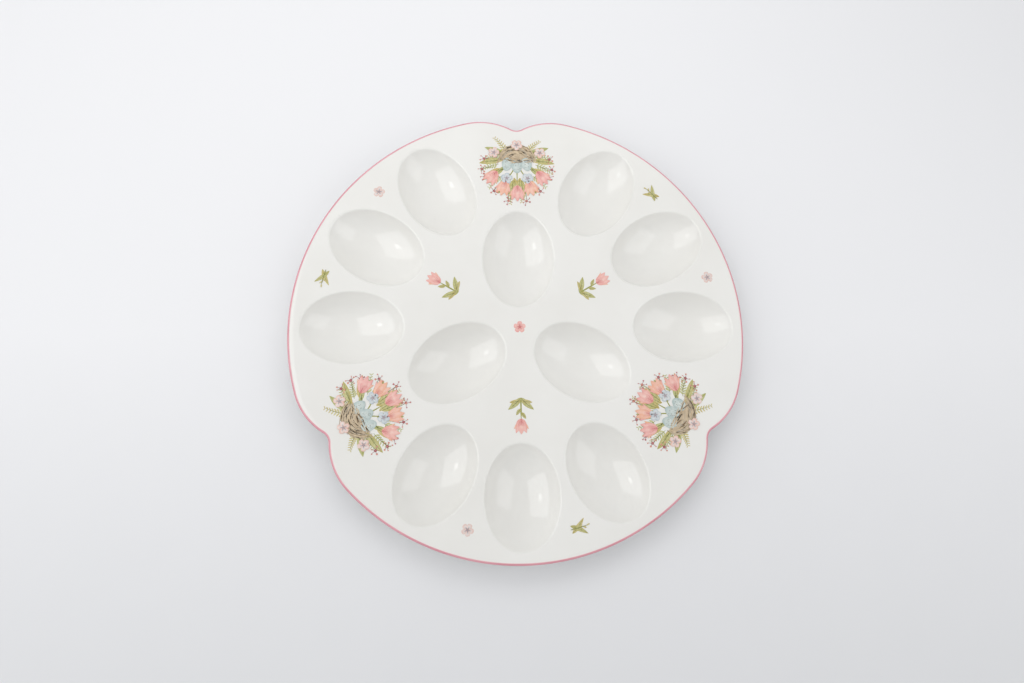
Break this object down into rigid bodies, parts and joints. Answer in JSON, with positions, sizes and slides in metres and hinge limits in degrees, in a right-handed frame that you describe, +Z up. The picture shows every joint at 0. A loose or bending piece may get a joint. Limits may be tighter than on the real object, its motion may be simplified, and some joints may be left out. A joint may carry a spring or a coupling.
{
  "type": "deviled egg platter",
  "caption": "Round glazed ceramic deviled egg platter with a notched, pink-banded rim, oval egg wells and small enamel posies.",
  "frame": {"origin": "centre of the foot ring, on the table", "axes": "+Z up, +Y towards the notch at the top of the picture, +X to the picture's right"},
  "size_m": [0.304, 0.3011, 0.0229],
  "materials": {
    "white_glaze": "clear glossy glaze over warm white ceramic",
    "pink_band": "glossy rose pink enamel, painted round the rim",
    "green_enamel": "olive green overglaze enamel",
    "brown_enamel": "tan and grey-brown overglaze enamel",
    "egg_enamel": "pale blue-grey overglaze enamel with speckles",
    "pink_enamel": "coral and rose pink overglaze enamel",
    "blue_enamel": "dusty blue overglaze enamel",
    "red_enamel": "dark berry red overglaze enamel"
  },
  "bodies": {
    "root": {"platter_body": "white_glaze", "rim_band": "pink_band", "posy_top_leaves": "green_enamel", "posy_left_leaves": "green_enamel", "posy_right_leaves": "green_enamel", "sprig_1_stem": "green_enamel", "sprig_2_stem": "green_enamel", "sprig_3_stem": "green_enamel", "rim_leaves_1": "green_enamel", "rim_leaves_2": "green_enamel", "rim_leaves_3": "green_enamel", "posy_top_nest": "brown_enamel", "posy_left_nest": "brown_enamel", "posy_right_nest": "brown_enamel", "posy_top_eggs": "egg_enamel", "posy_left_eggs": "egg_enamel", "posy_right_eggs": "egg_enamel", "posy_top_tulips": "pink_enamel", "posy_left_tulips": "pink_enamel", "posy_right_tulips": "pink_enamel", "sprig_1_tulip": "pink_enamel", "sprig_2_tulip": "pink_enamel", "sprig_3_tulip": "pink_enamel", "centre_blossom": "pink_enamel", "posy_top_blossoms": "blue_enamel", "posy_left_blossoms": "blue_enamel", "posy_right_blossoms": "blue_enamel", "rim_blossom_1": "blue_enamel", "rim_blossom_2": "blue_enamel", "rim_blossom_3": "blue_enamel", "posy_top_berries": "red_enamel", "posy_left_berries": "red_enamel", "posy_right_berries": "red_enamel"}
  },
  "joints": []
}
